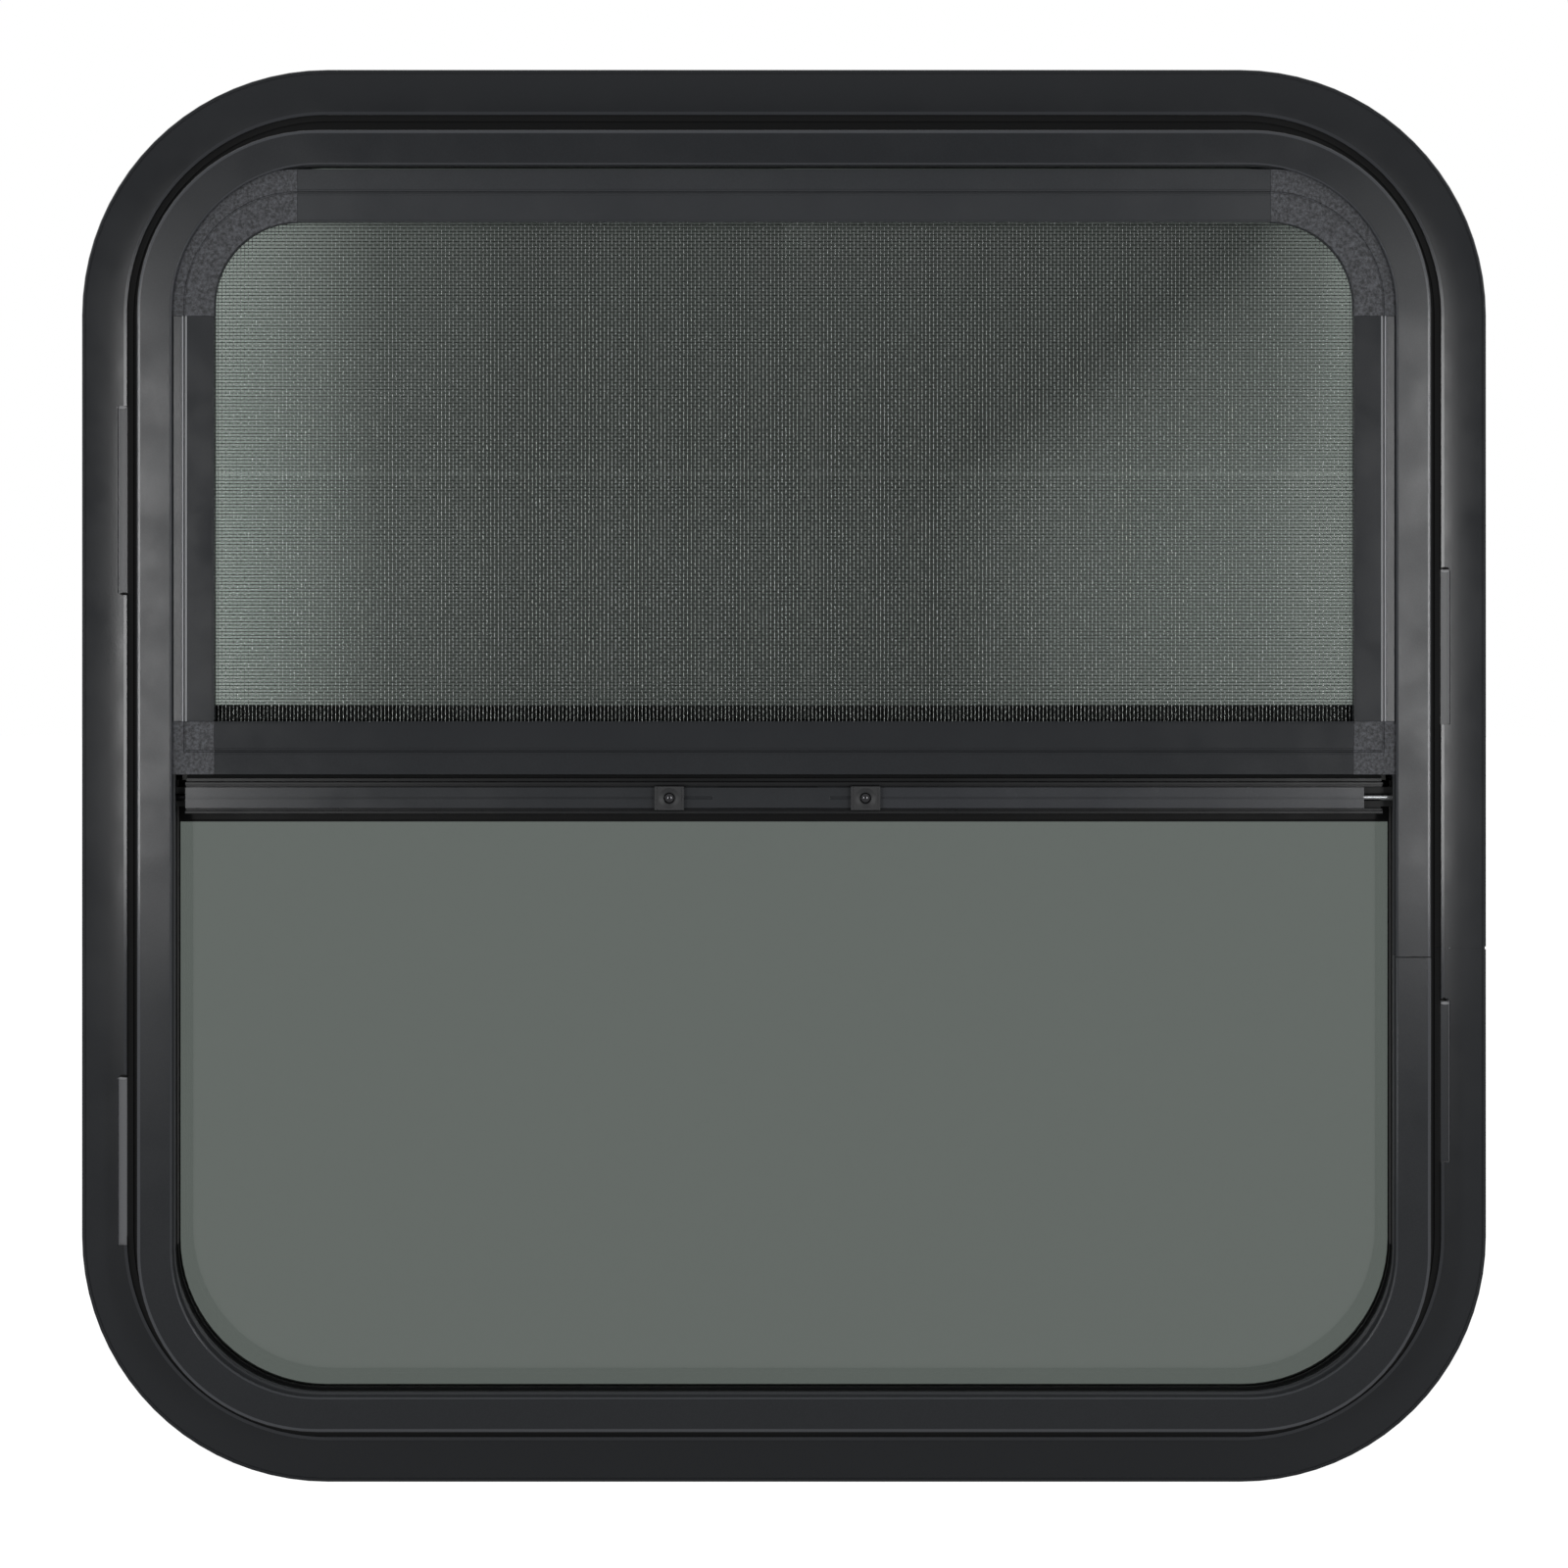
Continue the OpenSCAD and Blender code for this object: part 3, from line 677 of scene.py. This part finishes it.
@dataclass(frozen=True)
class LacqueredWire:
    """Aluminium wire of an insect mesh, under a thin grey lacquer."""

    name: str
    colour: str
    roughness: float = 0.18
    uneven_mm: float = 3.2
    darker: float = 0.75
    lighter: float = 1.3

    def build(self) -> bpy.types.Material:
        """Builds the wire's material.

        Returns:
            The material.
        """
        # Grey metal, slightly uneven from wire to wire, that glints where it crests.
        material, tree = start_material(self.name)
        place = piece_place(tree)
        uneven = noise(tree, place, self.uneven_mm, detail=2.0)
        base = srgb(self.colour)
        colour = mix_colours(tree, uneven, scaled(base, self.darker),
                             scaled(base, self.lighter))
        cover(tree, {"Base Color": colour, "Metallic": 1.0, "Roughness": self.roughness})
        return material


FINISHES = {
    "frame_coat": FlangedFrameCoat("frame_powder_coat", "2D2F32", roughness=0.21,
                                   peel_depth_mm=0.009),
    "rail_coat": PowderCoat("rail_powder_coat", "35373A", roughness=0.20),
    "screen_coat": ScreenBarCoat("screen_powder_coat", "2F3134", roughness=0.17),
    "corner_plastic": MouldedPlastic("corner_nylon", "2B2C2F", grain_mm=1.3, fleck=4.8),
    "black_rubber": ExtrudedRubber("glazing_rubber"),
    "black_pile": FlockedPile("track_flock"),
    "tinted_glass": TintedGlass("tinted_float_glass", "5A605C"),
    "black_plastic": MouldedPlastic("guide_nylon", "161718", grain_mm=0.3),
    "tab_plastic": MouldedPlastic("tab_nylon", "232426", roughness=0.40, grain_mm=0.3,
                                  grain_depth_mm=0.01),
    "dark_screw": PlatedSteel("blackened_screw_steel", "4A4A4C", roughness=0.15),
    "bolt_steel": PlatedSteel("zinc_plated_steel", "A9ABAD", roughness=0.3),
    "mesh_wire": LacqueredWire("lacquered_mesh_wire", "868988"),
}


class Workshop:
    """Builds each finish once and gives it to pieces and CAD nodes by slot."""

    weld_mm: float = 0.001
    sharp_from: float = math.radians(35)
    edge_steps: int = 2

    def __init__(self) -> None:
        """Starts with no finish built."""
        self.made: dict[str, bpy.types.Material] = {}

    def finish(self, slot: str) -> bpy.types.Material:
        """Gives the material of a slot, and builds it the first time."""
        if slot not in self.made:
            self.made[slot] = FINISHES[slot].build()
        return self.made[slot]

    def dress(self, node: str, slot: str, edge_mm: float = 0.0) -> None:
        """Gives a CAD node its slot's finish, and eases its sharp edges."""
        self.dress_with(node, self.finish(slot), edge_mm)

    def dress_with(self, node: str, material: bpy.types.Material,
                   edge_mm: float = 0.0) -> None:
        """Gives a CAD node a material, and eases its sharp edges.

        Args:
            node: The CAD node's name.
            material: The material.
            edge_mm: Width of the eased edge, or 0 for none.
        """
        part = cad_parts[node]
        for place in part.material_slots:
            place.material = material
        if edge_mm:
            weld = part.modifiers.new("join_faces", "WELD")
            weld.merge_threshold = self.weld_mm * MM
            ease = part.modifiers.new("eased_edges", "BEVEL")
            ease.limit_method = "ANGLE"
            ease.angle_limit = self.sharp_from
            ease.width = edge_mm * MM
            ease.segments = self.edge_steps
            ease.harden_normals = True
            ease.use_clamp_overlap = True
        log.info("%s wears %s", node, material.name)

    def place(self, mesh: bmesh.types.BMesh, name: str, slot: str, stands_for: str,
              material: bpy.types.Material) -> bpy.types.Object:
        """Makes a finished piece that stands for a CAD node.

        Args:
            mesh: The piece's mesh, at its place, which is freed here.
            name: The piece's name.
            slot: The record's material slot. It is not used.
            stands_for: The CAD node that the piece replaces.
            material: The piece's material.

        Returns:
            The piece's object.
        """
        data = bpy.data.meshes.new(name)
        mesh.to_mesh(data)
        mesh.free()
        data.materials.append(material)
        piece = bpy.data.objects.new(name, data)
        bpy.context.scene.collection.objects.link(piece)
        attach(piece, BODY)
        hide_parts(stands_for)
        log.info("%s: %d faces", name, len(data.polygons))
        return piece


@dataclass
class OuterFrame:
    """Bent aluminium frame that the glass and the tracks are part of."""

    edge_mm: float = 0.15

    def dress(self, shop: Workshop) -> None:
        """Gives the frame its powder coat."""
        shop.dress("outer_frame", "frame_coat", self.edge_mm)


@dataclass
class LowerPane:
    """Fixed lower pane with its rubber and the crossbar above it."""

    edge_mm: float = 0.2
    # The crossbar's coat is painted near black, as painted shade.
    shaded_crossbar_coat: PowderCoat = PowderCoat("crossbar_powder_coat", "0A0A0B", specular=0.15)

    def dress(self, shop: Workshop) -> None:
        """Gives the pane, its rubber and the crossbar their finishes."""
        shop.dress("fixed_glass", "tinted_glass")
        shop.dress("fixed_glass_gasket", "black_rubber")
        shop.dress_with("mullion", self.shaded_crossbar_coat.build(), self.edge_mm)
        shop.dress("mullion_gasket", "black_rubber")
        shop.dress("mullion_pile_strip", "black_pile")


@dataclass
class SlidingSash:
    """Sliding upper pane with its rail, guides and lined track."""

    edge_mm: float = 0.15
    # The sash rail gets a darker copy of the rail coat, as painted shade.
    rail_coat: PowderCoat = PowderCoat("rail_channel_coat", "1B1C1E", roughness=0.30)

    def dress(self, shop: Workshop) -> None:
        """Gives the sash and its track their finishes."""
        shop.dress("sash_glass", "tinted_glass")
        shop.dress_with("sash_rail", self.rail_coat.build(), self.edge_mm)
        shop.dress("sash_rail_gasket", "black_rubber")
        shop.dress("run_channel", "black_pile")
        for side in Side:
            shop.dress(f"rail_end_plug_{side.name.lower()}", "black_plastic")
            shop.dress(f"strike_{side.name.lower()}", "black_plastic")


@dataclass
class Latch:
    """Pair of sliding latch bars with their tabs, screws, cover and bolts."""

    edge_mm: float = 0.25
    # The right bar gets a lighter copy of the rail coat, as painted light.
    right_bar_painted_light_coat: PowderCoat = PowderCoat("rubbed_rail_powder_coat", "3B3D41", roughness=0.24)
    # The left bolt gets a dark copy of the bolt steel, as painted shade.
    shaded_bolt_steel: PlatedSteel = PlatedSteel("bolt_steel_painted_shade", "1C1C1D", roughness=0.4)

    def dress(self, shop: Workshop) -> None:
        """Gives the latch's pieces their finishes."""
        for side in Side:
            shop.dress(f"latch_tab_{side.name.lower()}", "tab_plastic", self.edge_mm)
        shop.dress("latch_bolt_right", "bolt_steel")
        shop.dress_with("latch_bolt_left", self.shaded_bolt_steel.build())
        shop.dress("latch_bar_left", "rail_coat", self.edge_mm)
        shop.dress_with("latch_bar_right", self.right_bar_painted_light_coat.build(), self.edge_mm)
        shop.dress("latch_cover", "rail_coat", self.edge_mm)
        shop.dress("latch_screws", "dark_screw")


@dataclass
class InsectScreen:
    """Screen frame of drawn bars and moulded corners, with its woven mesh."""

    edge_mm: float = 0.2
    # The top bar gets a lighter copy of the screen coat, as painted light.
    top_bar_painted_light_coat: PowderCoat = PowderCoat("screen_top_powder_coat", "3C3E41", roughness=0.22)
    # The weft threads get a darker copy of the mesh wire, as painted shade.
    shaded_weft_wire: LacqueredWire = LacqueredWire("weft_wire_painted_shade", "2C2E2D")
    warp_pitch_mm: float = INCH_MM / 16
    weft_pitch_mm: float = INCH_MM / 18
    warp_sway_mm: float = 0.2
    weft_sway_mm: float = 0.04
    warp_count: int = 302
    weft_count: int = 150
    thread_r_mm: float = 0.17
    thread_sides: int = 3
    corner_r_mm: float = 36.3

    def dress(self, shop: Workshop) -> None:
        """Gives the screen's bars and corners their finishes."""
        for bar in ("left", "right", "bottom"):
            shop.dress(f"screen_{bar}", "screen_coat", self.edge_mm)
        shop.dress_with("screen_top", self.top_bar_painted_light_coat.build(), self.edge_mm)
        for side in Side:
            for end in ("top", "bottom"):
                shop.dress(f"screen_corner_{end}_{side.name.lower()}", "corner_plastic",
                           self.edge_mm)
        shop.dress("screen_spline", "black_rubber")

    def thread(self, lay: Lay, crossings: int, phase: int) -> bmesh.types.BMesh:
        """Makes one thread that sways over and under the threads it crosses.

        Args:
            lay: Which way the thread lies.
            crossings: How many threads it crosses.
            phase: 1 or -1, for over or under at the first crossing.

        Returns:
            The thread's mesh, from the origin along +Z or +X, with open ends.
        """
        pitch = (self.weft_pitch_mm if lay is Lay.WARP else self.warp_pitch_mm) * MM
        sway = (self.warp_sway_mm if lay is Lay.WARP else self.weft_sway_mm) * MM * phase
        mesh = bmesh.new()
        bmesh.ops.create_circle(mesh, segments=self.thread_sides, radius=self.thread_r_mm * MM)
        ring = mesh.edges[:]
        steps = [(pitch / 2, -sway)]
        steps += [(pitch, 2 * sway * (-1) ** k) for k in range(crossings - 1)]
        steps += [(pitch / 2, sway * (-1) ** (crossings + 1))]
        for ahead, across in steps:
            made = bmesh.ops.extrude_edge_only(mesh, edges=ring)["geom"]
            points = [g for g in made if isinstance(g, bmesh.types.BMVert)]
            ring = [g for g in made if isinstance(g, bmesh.types.BMEdge)
                    and all(v in points for v in g.verts)]
            bmesh.ops.translate(mesh, verts=points, vec=(0, across, ahead))
        if lay is Lay.WEFT:
            bmesh.ops.rotate(mesh, verts=mesh.verts[:],
                             matrix=Matrix.Rotation(math.pi / 2, 3, "Y"))
        return mesh

    def weave(self, shop: Workshop, lay: Lay, first: int, count: int, name: str,
              material: bpy.types.Material) -> None:
        """Makes a band of neighbouring threads as one piece.

        Args:
            shop: The workshop that places the piece.
            lay: Which way the threads lie.
            first: Number of the band's first thread.
            count: How many threads' width the band spans. They are made in pairs, so an
                odd last one is left out.
            name: The piece's name.
            material: The threads' material.
        """
        low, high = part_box("screen_mesh")
        middle = (low + high) / 2
        warp, weft = self.warp_pitch_mm * MM, self.weft_pitch_mm * MM
        crossings = self.weft_count if lay is Lay.WARP else self.warp_count
        start = Vector((middle.x - self.warp_count * warp / 2, middle.y,
                        middle.z - self.weft_count * weft / 2))
        step = Vector((warp, 0, 0)) if lay is Lay.WARP else Vector((0, 0, weft))
        under = 1 if lay is Lay.WARP else -1
        mesh = bmesh.new()
        for k in range(2):
            one = self.thread(lay, crossings, under * (-1) ** (first + k))
            bmesh.ops.translate(one, verts=one.verts[:], vec=start + step * (first + k + 0.5))
            scratch = bpy.data.meshes.new("pair")
            one.to_mesh(scratch)
            one.free()
            mesh.from_mesh(scratch)
            bpy.data.meshes.remove(scratch)
        pair = mesh.verts[:] + mesh.edges[:] + mesh.faces[:]
        for k in range(1, count // 2):
            made = bmesh.ops.duplicate(mesh, geom=pair)["geom"]
            points = [g for g in made if isinstance(g, bmesh.types.BMVert)]
            bmesh.ops.translate(mesh, verts=points, vec=step * 2 * k)
        self.trim(mesh, low, high)
        open_ends = [e for e in mesh.edges if e.is_boundary]
        bmesh.ops.holes_fill(mesh, edges=open_ends, sides=self.thread_sides)
        bmesh.ops.recalc_face_normals(mesh, faces=mesh.faces[:])
        for face in mesh.faces:
            face.smooth = len(face.verts) == 4
        shop.place(mesh, name, "mesh_wire", "screen_mesh", material)

    def trim(self, mesh: bmesh.types.BMesh, low: Vector, high: Vector) -> None:
        """Cuts the threads to the mesh's round top corners.

        Args:
            mesh: The threads.
            low: Lowest corner of the mesh's box.
            high: Highest corner of the mesh's box.
        """
        radius = self.corner_r_mm * MM
        arc_x = (high.x - low.x) / 2 - radius
        arc_z = high.z - radius
        outside = [v for v in mesh.verts if v.co.z > arc_z and abs(v.co.x) > arc_x
                   and math.hypot(abs(v.co.x) - arc_x, v.co.z - arc_z) > radius]
        bmesh.ops.delete(mesh, geom=outside, context="VERTS")

    def weave_mesh(self, shop: Workshop) -> None:
        """Weaves the whole mesh in four bands."""
        # The weft threads wear the darker copy of the wire, as painted shade.
        bare, dark = shop.finish("mesh_wire"), self.shaded_weft_wire.build()
        # The warp bands are even. A weft band spans 75 threads and so has 74 of them.
        left = self.warp_count // 2 + 1
        lower = self.weft_count // 2
        for lay, first, count, name, wire in (
                (Lay.WARP, 0, left, "warp_left", bare),
                (Lay.WARP, left, self.warp_count - left, "warp_right", bare),
                (Lay.WEFT, 0, lower, "weft_lower", dark),
                (Lay.WEFT, lower, self.weft_count - lower, "weft_upper", dark)):
            self.weave(shop, lay, first, count, f"screen_weave_{name}", wire)


@dataclass
class Studio:
    """Camera, lamps, white backdrop and pale floor.

    Lengths are in metres where their names don't say mm. Spans and stops are parts of a
    ray's direction, and levels have the backdrop at 1.
    """

    lens_mm: float = 88.8
    sensor_mm: float = 36.0
    camera_y: float = -1.652
    camera_over_centre: float = 0.0944
    shift_y: float = -0.1461
    centre_z: float = 0.29105
    fill: float = 0.42
    front_gloss: float = 0.16
    front_span: Span = (-0.1, 0.4)
    ceiling_gloss: float = 0.3
    ceiling_span: Span = (0.12, 0.3)
    side_gloss: float = 1.5
    side_span: Span = (0.6, 0.85)
    box_inner: float = 0.525
    box_w: float = 0.12
    box_h: float = 0.5
    box_over_camera: float = -0.04
    box_left_level: float = 18.5
    box_right_level: float = 19.5
    behind: tuple[Spot, ...] = (
        (-0.2, 1.0), (-0.146, 2.7), (-0.128, 1.85), (-0.104, 0.8), (-0.07, 0.5),
        (0.04, 0.42), (0.07, 0.9), (0.12, 1.4), (0.142, 2.05), (0.2, 1.0))
    behind_top: float = 3.0
    behind_slant: float = 1.3
    behind_slant_from: float = 0.02
    behind_slant_span: Span = (0.12, 0.142)
    outdoors_span: Span = (0.0, 0.5)
    floor_size: float = 13.5
    floor_drop_mm: float = 0.2
    floor_grey: float = 0.8
    floor_glow: float = 1.3
    floor_gloss: float = 0.45
    floor_glow_share: float = 0.8

    def build(self) -> None:
        """Builds the whole studio."""
        self.set_camera()
        self.set_world()
        self.set_softbox(Side.LEFT, self.box_left_level)
        self.set_softbox(Side.RIGHT, self.box_right_level)
        self.lay_floor()
        bpy.context.scene.view_settings.view_transform = "Standard"

    def set_camera(self) -> None:
        """Places the camera in front of the window, level, with a shifted frame."""
        data = bpy.data.cameras.new("camera")
        data.lens = self.lens_mm
        data.sensor_width = self.sensor_mm
        data.shift_y = self.shift_y
        camera = bpy.data.objects.new("camera", data)
        camera.location = (0, self.camera_y, self.centre_z + self.camera_over_centre)
        camera.rotation_euler = (math.pi / 2, 0, 0)
        bpy.context.scene.collection.objects.link(camera)
        bpy.context.scene.camera = camera

    def set_world(self) -> None:
        """Makes a world that is seen as white and lights at a plain level."""
        world = bpy.data.worlds.new("studio_white")
        bpy.context.scene.world = world
        world.use_nodes = True
        tree = world.node_tree
        tree.nodes.clear()
        ray = add_node(tree, "ShaderNodeLightPath").outputs
        direction = add_node(tree, "ShaderNodeTexCoord").outputs["Generated"]
        parts = add_node(tree, "ShaderNodeSeparateXYZ", {0: direction}).outputs
        front = spread(tree, parts["Y"], self.front_span, (self.front_gloss, 1.0))
        ceiling = spread(tree, parts["Z"], self.ceiling_span, (0.0, self.ceiling_gloss))
        sides = spread(tree, calc(tree, "ABSOLUTE", parts["X"]), self.side_span,
                       (0.0, self.side_gloss))
        mirrored = calc(tree, "ADD", calc(tree, "MAXIMUM", front, sides), ceiling)
        plain = mix_levels(tree, ray["Is Glossy Ray"], self.fill, mirrored)
        through = mix_levels(tree, ray["Is Transmission Ray"], plain,
                             self.backdrop_behind(tree, parts["X"], parts["Y"], parts["Z"]))
        level = mix_levels(tree, ray["Is Camera Ray"], through, 1.0)
        light = add_node(tree, "ShaderNodeBackground", {"Color": WHITE, "Strength": level})
        add_node(tree, "ShaderNodeOutputWorld", {"Surface": light.outputs[0]})

    def backdrop_behind(self, tree: Tree, right: Socket, away: Socket, up: Socket) -> Socket:
        """Builds the unevenly lit backdrop that shows through the panes from the front.

        Args:
            tree: The world's node tree.
            right: The ray's X.
            away: The ray's Y.
            up: The ray's Z.

        Returns:
            The socket of the backdrop's level.
        """
        # Its brighter right side starts further out toward the top. A ramp's colours end
        # at 1, so the levels are divided by behind_top in it.
        ramp_middle = 0.5
        over = calc(tree, "SUBTRACT", up, self.behind_slant_from, clamp=True)
        on_right = calc(tree, "GREATER_THAN", right, 0.0)
        slant = spread(tree, right, self.behind_slant_span, (-self.behind_slant, 0.0))
        turned = calc(tree, "MULTIPLY", on_right, slant)
        moved = calc(tree, "MULTIPLY_ADD", over, turned, right)
        ramp = add_node(tree, "ShaderNodeValToRGB", {0: calc(tree, "ADD", moved, ramp_middle)})
        stops = ramp.color_ramp.elements
        while len(stops) < len(self.behind):
            stops.new(ramp_middle)
        for stop, (x, level) in zip(stops, self.behind):
            stop.position = x + ramp_middle
            grey = level / self.behind_top
            stop.color = (grey, grey, grey, 1)
        lit = calc(tree, "MULTIPLY", ramp.outputs["Color"], self.behind_top)
        return mix_levels(tree, spread(tree, away, self.outdoors_span), 1.0, lit)

    def set_softbox(self, side: Side, level: float) -> None:
        """Places an upright softbox beside the camera, facing the way that it does.

        Args:
            side: Which side it stands on.
            level: Its radiance, with the backdrop at 1.
        """
        data = bpy.data.lights.new(f"softbox_{side.name.lower()}", "AREA")
        data.shape = "RECTANGLE"
        data.size, data.size_y = self.box_w, self.box_h
        data.energy = level * math.pi * self.box_w * self.box_h
        lamp = bpy.data.objects.new(data.name, data)
        lamp.location = (side.value * (self.box_inner + self.box_w / 2), self.camera_y,
                         self.centre_z + self.camera_over_centre + self.box_over_camera)
        lamp.rotation_euler = Vector((0, 1, 0)).to_track_quat("-Z", "Y").to_euler()
        bpy.context.scene.collection.objects.link(lamp)

    def lay_floor(self) -> None:
        """Lays a pale floor just under the window, which keeps its shadow."""
        mesh = bmesh.new()
        bmesh.ops.create_grid(mesh, x_segments=1, y_segments=1, size=self.floor_size / 2)
        bmesh.ops.translate(mesh, verts=mesh.verts[:],
                            vec=(0, 0, CAD_BOX[0].z - self.floor_drop_mm * MM))
        data = bpy.data.meshes.new("studio_floor")
        mesh.to_mesh(data)
        mesh.free()
        data.materials.append(self.paper())
        floor = bpy.data.objects.new("studio_floor", data)
        bpy.context.scene.collection.objects.link(floor)

    def paper(self) -> bpy.types.Material:
        """Builds the floor's material.

        Returns:
            The material.
        """
        # Pale paper that takes a shadow, and glows nearly white where it is seen.
        material, tree = start_material("pale_studio_floor")
        ray = add_node(tree, "ShaderNodeLightPath").outputs
        seen = calc(tree, "MAXIMUM", ray["Is Camera Ray"], ray["Is Transmission Ray"])
        # A ray through glass counts as glossy too, so the mirrored ones are what is left.
        mirrored = calc(tree, "SUBTRACT", ray["Is Glossy Ray"], seen, clamp=True)
        kept = calc(tree, "MULTIPLY", seen, self.floor_glow_share)
        share = calc(tree, "MAXIMUM", kept, mirrored)
        strength = mix_levels(tree, mirrored, self.floor_glow, self.floor_gloss)
        grey = (self.floor_grey,) * 3 + (1,)
        sheet = add_node(tree, "ShaderNodeBsdfDiffuse", {"Color": grey})
        glow = add_node(tree, "ShaderNodeEmission", {"Color": WHITE, "Strength": strength})
        close_material(tree, add_node(tree, "ShaderNodeMixShader",
                                      {0: share, 1: sheet.outputs[0], 2: glow.outputs[0]}))
        return material


def main() -> None:
    """Builds the window's sub-assemblies in order, then the studio."""
    logging.basicConfig(level=logging.INFO, format="%(message)s")
    shop = Workshop()
    for part in (OuterFrame(), LowerPane(), SlidingSash(), Latch()):
        part.dress(shop)
    screen = InsectScreen()
    screen.dress(shop)
    screen.weave_mesh(shop)
    Studio().build()


if __name__ == "__main__":
    main()
